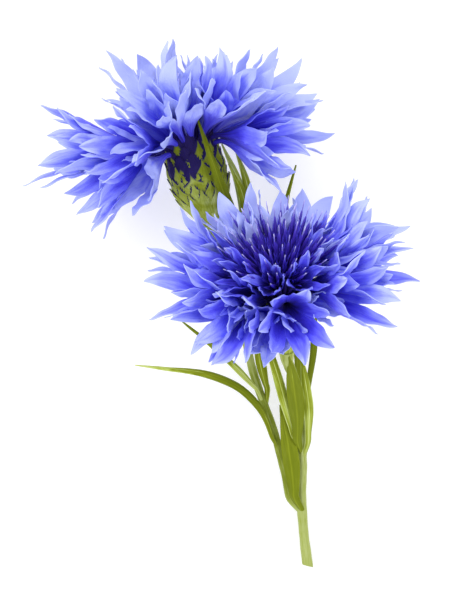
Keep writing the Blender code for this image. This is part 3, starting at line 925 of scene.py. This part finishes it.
def straight_bract(name):
    """A flat pointed scale along +Z, 4 faces wide, with teeth along its upper edges."""
    foot = BRACT_OUTLINE[0][1]
    obj = new_primitive(
        bpy.ops.mesh.primitive_grid_add, name, x_subdivisions=4, y_subdivisions=1, size=2 * foot * MM
    )
    pick(obj, lambda place: place.y > 0)
    bpy.ops.mesh.delete(type="VERT")
    select_mesh()
    bpy.ops.transform.translate(value=(0, foot * MM, 0))
    grow_rings(BRACT_OUTLINE, flat=True)
    grow(dz=BRACT_LENGTH - BRACT_OUTLINE[-1][0])
    bpy.ops.mesh.merge(type="CENTER")
    select_mesh()
    bpy.ops.mesh.subdivide(number_cuts=1)
    bpy.ops.object.mode_set(mode="OBJECT")
    # Each tooth is one edge of the rim, extruded up and out and merged to its middle.
    rim = [middle for middle in rim_middles(obj) if middle.z > FRINGE_START * MM]
    bpy.ops.object.mode_set(mode="EDIT")
    for middle in rim:
        select_edge_near(obj, middle)
        side = 1 if middle.x > 0 else -1
        grow(dx=TOOTH_LEAN * side * (1 - middle.z / (1.25 * BRACT_LENGTH * MM)), dz=TOOTH_LENGTH)
        bpy.ops.mesh.merge(type="CENTER")
    return keep_as_pattern(obj)


# %% Edges of a rim
def rim_middles(obj):
    """The middles of the edges that have one face, without the straight lower end."""
    mesh = bmesh.new()
    mesh.from_mesh(obj.data)
    found = [
        (edge.verts[0].co + edge.verts[1].co) / 2 for edge in mesh.edges
        if edge.is_boundary and max(v.co.z for v in edge.verts) > 0.1 * MM
    ]
    mesh.free()
    return found


def select_edge_near(obj, middle):
    """In edit mode, selects the rim edge whose middle is nearest to a place."""
    mesh = bmesh.from_edit_mesh(obj.data)
    for part in (*mesh.verts, *mesh.edges, *mesh.faces):
        part.select = False
    rim = [edge for edge in mesh.edges if edge.is_boundary]
    edge = min(rim, key=lambda e: ((e.verts[0].co + e.verts[1].co) / 2 - middle).length)
    edge.select = True
    for vertex in edge.verts:
        vertex.select = True
    bmesh.update_edit_mesh(obj.data)


bract_scale = straight_bract("straight_bract")

# %% [markdown]
# ## Bract finish
# A bract is firm and leathery. It is olive green with fine lengthways nerves and a grey bloom, and its
# fringed margin is the colour of dried ink. Distance from the midrib and from the point choose between
# the two, with noise so that no two margins are alike. The upper rows are darker and the lower ones
# paler, and on one side near the rim the dark spreads over much of a bract: this is painted shade under
# the petals, and painted light at the foot.

# %% Bract material
def bract_material():
    """Leathery scale: matt olive skin with nerves, and a dark fringed margin."""
    material, tree, shader, reach, across, tone, fringe_and_shade = new_material(
        "leathery_olive_bract", "reach", "across", "tone", "fringe_and_shade"
    )
    mottle = mottling(tree, 2.2)
    level = add_node(tree, "Math", {0: mottle, 1: tone}, operation="ADD")
    green = set_ramp(add_node(tree, "ValToRGB", {"Fac": level}), (
        (0.25, "#798616"), (0.5, "#8d9926"), (0.72, "#a6b24e"), (0.95, "#c6d183"),
    ))
    edge = add_node(tree, "Math", {0: across}, operation="ABSOLUTE")
    edge = add_node(tree, "Math", {0: edge, 1: reach}, operation="MULTIPLY")
    edge = add_node(tree, "Math", {0: edge, 1: 0.35}, operation="MULTIPLY")
    margin = add_node(tree, "Math", {0: reach, 1: 0.75, 2: edge}, operation="MULTIPLY_ADD")
    margin = add_node(tree, "Math", {0: mottle, 1: 0.3, 2: margin}, operation="MULTIPLY_ADD")
    # This attribute adds painted shade under the petals to the real dark fringe.
    margin = add_node(tree, "Math", {0: margin, 1: fringe_and_shade}, operation="ADD")
    dark = add_node(tree, "MapRange", {"Value": margin, "From Min": 0.93, "From Max": 1.0})
    inked = {"Factor": dark, "A": green, "B": linear("#241a52")}
    colour = add_node(tree, "Mix", inked, output="Result", data_type="RGBA")
    finish_skin(tree, shader, colour, (0.65, 0.12), ridges(tree, across, 5), (0.35, 0.06))
    return material


bract_skin = bract_material()


# %% Measuring the involucre
def involucre_outline(head):
    """Radius against height above the stalk, in millimetres, read from the frame's bract rows."""
    stations = np.linspace(0.3, head.length / MM - 0.1, 24)
    outline = np.zeros(len(stations))
    for row in (1, 2, 3):
        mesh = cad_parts[f"{head.name}_bract_row_{row}"].data
        values = head.inside(np.array([vertex.co[:] for vertex in mesh.vertices]))
        heights = np.round(values[:, 2] + head.length / MM, 1)
        radii = np.hypot(values[:, 0], values[:, 1])
        rings = np.unique(heights)
        widest = [radii[heights == ring].max() for ring in rings]
        outline = np.maximum(outline, np.interp(stations, rings, widest, left=0, right=0))
    return stations, outline


# %% The line that a bract climbs
CLIMB_STEPS, CLIMB = 6, 1.35
# A bract's foot is tucked this far under the frame's outline, and comes out by so much at each step.
TUCK, TUCK_EASE = 0.75, 0.14
# The foot of the egg is rounded off below this height.
ROUND_BELOW = 3


def bract_line(head, start, azimuth, egg, dice):
    """A line up the egg, close under its outline, from a height above the stalk in millimetres."""
    out = head.x * math.cos(azimuth) + head.y * math.sin(azimuth)
    points = []
    for step in range(CLIMB_STEPS):
        height = start + dice.uniform(-0.1, 0.1) + step * CLIMB
        radius = float(np.interp(height, *egg)) - TUCK + TUCK_EASE * step
        radius = min(radius, 1.3 + 1.2 * (height + 1.2)) if height < ROUND_BELOW else radius
        points.append(head.mouth + out * radius * MM + head.axis * (height - head.length / MM) * MM)
    return Line(points, up=out)


# %% One bract
# The straight scale is as wide as it should be where the egg's radius is this.
SCALE_RADIUS = 5.6
# The nerve in a scale's middle stands out by this much and is this wide.
NERVE, NERVE_WIDTH = 0.12, 0.35
# On one side, towards the rim, the dark fringe spreads over much of a bract: painted shade under the
# petals, on top of the real dark fringe. For each row: between which azimuths, in degrees.
SHADED_AZIMUTHS = {3: (230, 280), 4: (195, 285), 5: (195, 285), 6: (195, 285)}


def lay_bract(line, row, azimuth, radius, dice):
    """A copy of the scale, cupped to a radius in millimetres and laid along its line."""
    part = copy_piece(bract_scale, "bract")
    values = places(part) / MM
    half = np.interp(values[:, 2], *zip(*BRACT_OUTLINE))
    mark(part, "across", np.clip(values[:, 0] / half, -1.3, 1.3))
    mark(part, "reach", values[:, 2] / BRACT_LENGTH)
    # Upper rows are darker and lower rows paler, in green and in fringe: painted shade under the petals and
    # painted light at the foot.
    mark(part, "tone", dice.uniform(-0.12, 0.12) - 0.05 * (row - 3))
    # On the shaded side of the upper rows, the dark spreads over much of a bract: painted shade under the
    # petals.
    first, last = SHADED_AZIMUTHS.get(row, (0, 0))
    in_shaded_range = first < math.degrees(azimuth) % 360 < last
    mark(part, "fringe_and_shade", dice.uniform(0.1, 0.5) if in_shaded_range else 0.05 * (row - 3) - 0.02)
    values[:, 0] *= radius / SCALE_RADIUS * dice.uniform(0.92, 1.06)
    values[:, 1] = -values[:, 0] ** 2 / (2 * radius)
    values[:, 1] += NERVE * np.exp(-((values[:, 0] / NERVE_WIDTH) ** 2))
    values[:, 2] *= line.length / MM / BRACT_LENGTH * dice.uniform(0.94, 1.02)
    set_places(part, line.lay(values * MM))
    return part


# %% Both involucres
BRACT_ROWS = 7
BRACTS_IN_ROW = 12
BRACT_THICKNESS = 0.14
# The rows start at these heights above the stalk, and the egg's radius is measured so far above them.
ROW_HEIGHTS = [-0.6 + 1.75 * row for row in range(BRACT_ROWS)]
MEASURED_AT = 3.5
BRACT_SEED = 31


def lay_bracts(head, dice):
    """All the bracts of one head, as one piece."""
    egg = involucre_outline(head)
    parts = []
    for row, start in enumerate(ROW_HEIGHTS):
        for k in range(BRACTS_IN_ROW):
            azimuth = 2 * math.pi * (k + 0.5 * (row % 2)) / BRACTS_IN_ROW + dice.uniform(-0.05, 0.05)
            line = bract_line(head, start, azimuth, egg, dice)
            radius = float(np.interp(start + MEASURED_AT, *egg))
            parts.append(lay_bract(line, row, azimuth, radius, dice))
    involucre = join_pieces(parts, f"{head.name}_bracts")
    thicken(involucre, BRACT_THICKNESS)
    return involucre


for head in heads.values():
    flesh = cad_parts[f"{head.name}_receptacle"].data
    flesh.materials.clear()
    flesh.materials.append(bract_skin)
    bracts = lay_bracts(head, random.Random(BRACT_SEED))
    settle(bracts, bract_skin, [f"{head.name}_bract_row_{row}" for row in (1, 2, 3)])
    print(head.name, "involucre:", BRACT_ROWS * BRACTS_IN_ROW, "bracts")

# %% [markdown]
# ## Stems
# A cornflower's stem is wiry and ribbed, thin at the cut and a little wider just under the head. Each one
# is a circle of vertices, extruded straight up in even steps, whose every fourth vertex is pushed out to
# make the ribs. The straight stem is then laid on the middle line of its frame piece. The side stem starts
# inside the main stem, with a swollen foot, because it grew out of it. The main stem's lower end is the
# cut: a slanted face, inset twice, with a pale pith in a green ring of skin.

# %% Straight stem
STEM_SIDES, STEM_STEPS = 24, 90
SKIN_AT_CUT, PITH_STEP, PITH_DEPTH = 0.24, 0.1, 0.08


def straight_stem(name, length):
    """A closed round stem along +Z with a radius of 1 mm, with its lower end inset for the cut."""
    obj = new_primitive(
        bpy.ops.mesh.primitive_circle_add, name, vertices=STEM_SIDES, radius=MM, fill_type="NOTHING"
    )
    select_mesh()
    for _ in range(STEM_STEPS):
        grow(dz=length / STEM_STEPS)
    bpy.ops.mesh.edge_face_add()
    pick(obj, lambda place: place.z < 0.1 * WELD)
    bpy.ops.mesh.edge_face_add()
    bpy.ops.mesh.inset(thickness=SKIN_AT_CUT * MM, depth=0)
    bpy.ops.mesh.inset(thickness=PITH_STEP * MM, depth=-PITH_DEPTH * MM)
    select_mesh()
    bpy.ops.mesh.normals_make_consistent(inside=False)
    bpy.ops.object.mode_set(mode="OBJECT")
    return obj


# %% Laying a stem
RIBS, RIB_DEPTH = 6, 0.05
# A stem lies nearer to the surface than a petal does before it bends up.
STEM_SOFT = 0.35
# Two slow waves in its thickness: (share of the radius, turn for each millimetre, start).
UNEVEN = ((0.03, 0.8, 0), (0.02, 2.1, 1))


def grow_stem(name, points, radii, cut=0.0, shade=0.0):
    """A ribbed stem on a line. Radii are (share of the length, millimetres). Cut slants the lower end.
    Shade is added to the tone of its lower half."""
    line = Line(points, side=(1.0, 0.0, 0.0))
    length = line.length / MM
    stem = straight_stem(name, length)
    values = places(stem) / MM
    share = np.clip(values[:, 2] / length, 0, 1)
    angle = np.arctan2(values[:, 0], values[:, 1])
    inner = np.hypot(values[:, 0], values[:, 1])
    radius = np.interp(share, *zip(*radii))
    # The ribs run along the stem, and its thickness is never quite even.
    ribs = 1 + RIB_DEPTH * np.cos(RIBS * angle) * np.minimum(inner, 1) ** 4
    uneven = 1 + sum(size * np.sin(values[:, 2] * rate + start) for size, rate, start in UNEVEN)
    mark(stem, "reach", share)
    mark(stem, "across", np.cos(RIBS * angle))
    # The tone is painted shade on the lower half, as deep as shade says.
    mark(stem, "tone", np.interp(share, (0.0, 0.1, 0.4, 0.5), (0.0, shade, shade, 0.0)))
    mark(stem, "pith", (1 - inner) * (values[:, 2] < 0.2))
    values[:, :2] *= (radius * ribs * uneven)[:, None]
    values[:, 2] += cut * values[:, 0] * np.clip(1 - values[:, 2] / 3, 0, 1)
    set_places(stem, keep_above_surface(line.lay(values * MM), STEM_SOFT))
    return stem, line


# %% Both stems
def middles(node, start):
    return [ring.mean(axis=0) for ring in rings_of(node, start)]


def lowest_end(place):
    return place.y < cad_box[0][1] + 0.7 * MM


main_points = middles("main_stem", lowest_end)
side_low = min(vertex.co.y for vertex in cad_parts["side_stem"].data.vertices)
side_points = middles("side_stem", lambda place: place.y < side_low + 0.5 * MM)
main_radii = ((0.0, 0.95), (0.1, 0.9), (0.45, 0.84), (0.8, 0.8), (0.93, 0.95), (1.0, 1.5))
main_stem, main_line = grow_stem("main_stem_skin", main_points, main_radii, cut=-0.4)
# The side stem's foot starts on the main stem's own line, about 5 mm below the frame's first ring.
STEPS_BELOW = 24
distance = np.linalg.norm(main_line.points - side_points[0], axis=1)
root = main_line.points[max(int(distance.argmin()) - STEPS_BELOW, 0)]
side_radii = (
    (0.0, 0.55), (0.06, 0.98), (0.14, 0.78), (0.5, 0.76), (0.88, 0.78), (0.95, 0.95), (1.0, 1.5)
)
# The side stem's lower half is darker: painted shade.
side_stem, side_line = grow_stem("side_stem_skin", [root, *side_points], side_radii, shade=-0.3)
print("stems", round(main_line.length / MM, 1), round(side_line.length / MM, 1), "mm")

# %% [markdown]
# ## Stem finish
# The ribs of a stem are pale and its grooves are olive green, and both are dulled by a thin grey cotton.
# One noise, stretched along the stem, makes long streaks of uneven green, and another one mottles them.
# Where the stem was cut, the pith shows, moist and nearly white.

# %% Stem material
def stem_material():
    """Ribbed green stem: pale ribs, olive grooves, long uneven streaks, and moist pith at the cut."""
    material, tree, shader, reach, across, tone, pith = new_material(
        "ribbed_green_stem", "reach", "across", "tone", "pith"
    )
    flow = add_node(tree, "CombineXYZ", {"X": across, "Y": reach})
    stretched = add_node(tree, "Mapping", {"Vector": flow, "Scale": (0.6, 14.0, 1.0)})
    streaks = add_node(tree, "TexNoise", {"Vector": stretched, "Scale": 1.3, "Detail": 4.0})
    mottle = mottling(tree, 3.0)
    level = add_node(tree, "Math", {0: across, 1: 0.07, 2: streaks}, operation="MULTIPLY_ADD")
    level = add_node(tree, "Math", {0: mottle, 1: 0.5, 2: level}, operation="MULTIPLY_ADD")
    # A stem's tone adds painted shade to its lower half.
    level = add_node(tree, "Math", {0: level, 1: tone}, operation="ADD")
    green = set_ramp(add_node(tree, "ValToRGB", {"Fac": level}), (
        (0.4, "#76821f"), (0.55, "#8d9940"), (0.7, "#99a456"), (0.98, "#a9b36f"),
    ))
    cut = add_node(tree, "MapRange", {"Value": pith, "From Min": 0.25, "From Max": 0.4})
    moist = {"Factor": cut, "A": green, "B": linear("#e6ead2")}
    colour = add_node(tree, "Mix", moist, output="Result", data_type="RGBA")
    finish_skin(tree, shader, colour, (0.62, 0.15), mottle, (0.2, 0.06))
    return material


stem_skin = stem_material()
settle(main_stem, stem_skin, ["main_stem"])
settle(side_stem, stem_skin, ["side_stem"])

# %% [markdown]
# ## Leaves
# Cornflower leaves are narrow straps that clasp the stem at their foot and end in a fine point. One flat
# strap is modelled: a grid, stretched, whose faces are small enough for a midrib and for waves. Each leaf
# copies it, takes the widths and the turn of its frame piece ring by ring, folds along its midrib, and
# starts on the stem itself, so that its foot runs into the stem without a step.

# %% Straight leaf
LEAF_LONG, LEAF_WIDE = 64, 12


def straight_strap(name):
    """A flat strap from z = 0 to z = 1 mm and from x = -1 to x = 1 mm."""
    obj = new_primitive(
        bpy.ops.mesh.primitive_grid_add, name,
        x_subdivisions=LEAF_WIDE, y_subdivisions=LEAF_LONG, size=2 * MM,
    )
    select_mesh()
    bpy.ops.transform.translate(value=(0, MM, 0))
    bpy.ops.transform.resize(value=(1, 0.5, 1), center_override=(0, 0, 0))
    # With no window this turns the other way, so that the strap stands up along +Z.
    bpy.ops.transform.rotate(value=-math.pi / 2, orient_axis="X", center_override=(0, 0, 0))
    return keep_as_pattern(obj)


strap = straight_strap("straight_leaf")


# %% Measuring a frame leaf
# How far below the frame's first ring a leaf starts, and how thin its point is.
FOOT_BELOW, POINT_HALF = 3, 0.03
# The foot lies this share of the way out from the stem's middle line to that ring, and its width is this
# share of the ring's.
FOOT_OUT, FOOT_WIDTH = 0.25, 0.5


def leaf_rings(node):
    """The middles, sideways directions and half widths of a frame leaf's rings, from its foot."""
    low = min(vertex.co.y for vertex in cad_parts[node].data.vertices)
    centres, sides, halves = [], [], []
    for ring in rings_of(node, lambda place: place.y < low + 1.0 * MM):
        spans = ring[:, None, :] - ring[None, :, :]
        size = np.linalg.norm(spans, axis=2)
        i, j = np.unravel_index(size.argmax(), size.shape)
        side = spans[i, j] / size[i, j] if len(ring) > 2 else sides[-1]
        if sides and side @ sides[-1] < 0 or not sides and side[0] < 0:
            side = -side
        centres.append(ring.mean(axis=0))
        sides.append(side)
        halves.append(size.max() / 2 / MM if len(ring) > 2 else POINT_HALF)
    return centres, sides, halves


def foot_of(centre):
    """Where a leaf starts: inside the stem that is nearest to the middle of its first ring."""
    lines = (main_line, side_line)
    distances = [np.linalg.norm(line.points - centre, axis=1) for line in lines]
    line, distance = min(zip(lines, distances), key=lambda pair: pair[1].min())
    nearest = int(distance.argmin())
    below = int(FOOT_BELOW * MM / (line.length / Line.STEPS))
    return line.points[max(nearest - below, 0)] + (centre - line.points[nearest]) * FOOT_OUT


# %% Laying a leaf
LEAF_THICKNESS = 0.2
# A blade is this much wider than its frame piece, which has no fold. The long arched leaf is a narrow
# one, which keeps its width.
LEAF_FULLER = 1.2
NARROW_LEAF = "long_leaf"
# Towards the foot, over this share of the length, the blade folds up sharply and narrows.
CLASP = 0.08
# A blade's halves rise by FOLD of their width, and by so much more at its foot, and its margins wave.
FOLD, FOLD_AT_FOOT, MARGIN_WAVE = 0.28, 0.5, 0.1
# The midrib's depth in millimetres, its share of the half width, and the height of the veins beside it.
MIDRIB_DEPTH, MIDRIB_SHARE, VEIN_HEIGHT = 0.16, 0.16, 0.07


def lay_leaf(node, tone, seed, name=None, shift=(0, 0, 0)):
    """A leaf along the line of a frame node. Shift moves its tip, in millimetres, and its foot stays."""
    dice = random.Random(seed)
    centres, sides, halves = leaf_rings(node)
    away = np.linspace(0, 1, len(centres))[:, None] * np.array(shift) * MM
    points = [foot_of(centres[0]), *(np.array(centres) + away)]
    line = Line(points, side=np.array([sides[0], *sides]))
    marks_along, ring_places = np.linspace(0, 1, Line.STEPS), np.arange(len(points)) / (len(points) - 1)
    ring_share = np.interp(ring_places, marks_along, line.distance / line.length)
    leaf = copy_piece(strap, name or f"{node}_blade")
    values = places(leaf) / MM
    across, reach = values[:, 0].copy(), values[:, 2].copy()
    half = np.interp(reach, ring_share, [FOOT_WIDTH * halves[0], *halves])
    mark(leaf, "across", across)
    mark(leaf, "reach", reach)
    # The tone paints light and shade along the leaf.
    mark(leaf, "tone", np.interp(reach, (0.0, 0.45, 1.0), tone))
    clasp = np.exp(-reach / CLASP)
    fold = FOLD + FOLD_AT_FOOT * clasp
    wave = MARGIN_WAVE * np.sin(reach * dice.uniform(14, 22) + dice.uniform(0, 6)) * np.sign(across)
    fuller = 1.0 if node == NARROW_LEAF else LEAF_FULLER
    values[:, 0] = across * half * fuller * (1 - 0.1 * clasp)
    values[:, 1] = half * (fold * np.abs(across) ** 1.3 + wave * across**2)
    values[:, 1] += VEIN_HEIGHT * np.cos(8 * across)
    # The midrib is a groove that fades towards the point.
    values[:, 1] -= MIDRIB_DEPTH * np.exp(-((across / MIDRIB_SHARE) ** 2)) * (1 - reach)
    values[:, 2] = reach * line.length / MM
    set_places(leaf, keep_above_surface(line.lay(values * MM)))
    thicken(leaf, LEAF_THICKNESS)
    return leaf


# %% [markdown]
# ## Leaf finish
# The upper face of a leaf is olive green, with a paler midrib and fine veins. A thin grey cotton lightens
# the margins. Each leaf also has a tone of its own, at its foot, middle and tip, which paints light and
# shade: darker where the leaf lies in shade, paler where light falls on it.

# %% Leaf material
def leaf_material():
    """Thin leathery leaf: olive skin, pale midrib and fine veins, soft grey cotton at the margins."""
    material, tree, shader, reach, across, tone = new_material(
        "cottony_green_leaf", "reach", "across", "tone"
    )
    flow = add_node(tree, "CombineXYZ", {"X": across, "Y": reach, "Z": tone})
    stretched = add_node(tree, "Mapping", {"Vector": flow, "Scale": (1.6, 3.0, 9.0)})
    streaks = add_node(tree, "TexNoise", {"Vector": stretched, "Scale": 1.5, "Detail": 3.0})
    # The tone paints light and shade on the leaf.
    level = add_node(tree, "Math", {0: streaks, 1: 0.7, 2: tone}, operation="MULTIPLY_ADD")
    # The margin and the midrib are paler: (from, to, how much paler before, and how much after).
    outward = add_node(tree, "Math", {0: across}, operation="ABSOLUTE")
    for limits in ((0.75, 1.0, 0.0, 0.16), (0.06, 0.14, 0.25, 0.0)):
        band = dict(zip(("From Min", "From Max", "To Min", "To Max"), limits))
        paler = add_node(tree, "MapRange", {"Value": outward, **band})
        level = add_node(tree, "Math", {0: level, 1: paler}, operation="ADD")
    green = set_ramp(add_node(tree, "ValToRGB", {"Fac": level}), (
        (0.2, "#6b770a"), (0.42, "#788312"), (0.62, "#86921f"), (0.74, "#a8b64e"), (0.98, "#c6d086"),
    ))
    finish_skin(tree, shader, green, (0.6, 0.12), ridges(tree, across, 6), (0.3, 0.05))
    return material


leaf_skin = leaf_material()

# %% All leaves
LEAF_SEED, MORE_LEAF_SEED = 500, 540
# How pale each leaf is at its foot, in its middle and at its tip: painted light and shade.
LEAF_LIGHT_AND_SHADE = {
    "long_leaf": (0.15, -0.15, 0.62), "branch_leaf": (0.5, 0.3, -0.15), "fork_leaf": (-0.15, -0.15, 0.1),
    "side_stem_leaf": (0.2, 0.1, -0.1), "stalk_left_leaf": (0.3, 0.3, 0.2),
    "stalk_front_leaf": (-0.15, -0.15, 0.0), "stalk_right_leaf": (0.35, 0.3, 0.2),
    "back_leaf": (0.0, 0.0, -0.1), "back_bud_leaf": (-0.05, -0.05, -0.05),
    "collar_leaf_long": (0.0, -0.05, -0.1), "collar_leaf_right": (0.25, 0.2, 0.35),
}
for k, (node, tone) in enumerate(LEAF_LIGHT_AND_SHADE.items()):
    settle(lay_leaf(node, tone, LEAF_SEED + k), leaf_skin, [node])
# Two more narrow leaves stand beside the rear involucre: (tones of painted light and shade, shift of the
# tip).
MORE_LEAVES = (((0.5, 0.45, 0.5), (-2.4, 1.0, -1.0)), ((0.0, -0.05, 0.4), (-1.2, -2.5, 1.5)))
for k, (tone, shift) in enumerate(MORE_LEAVES):
    name = f"collar_leaf_filling_{k + 1}"
    leaf = lay_leaf("collar_leaf_right", tone, MORE_LEAF_SEED + k, name, shift)
    settle(leaf, leaf_skin)
print(len(LEAF_LIGHT_AND_SHADE) + len(MORE_LEAVES), "leaves")
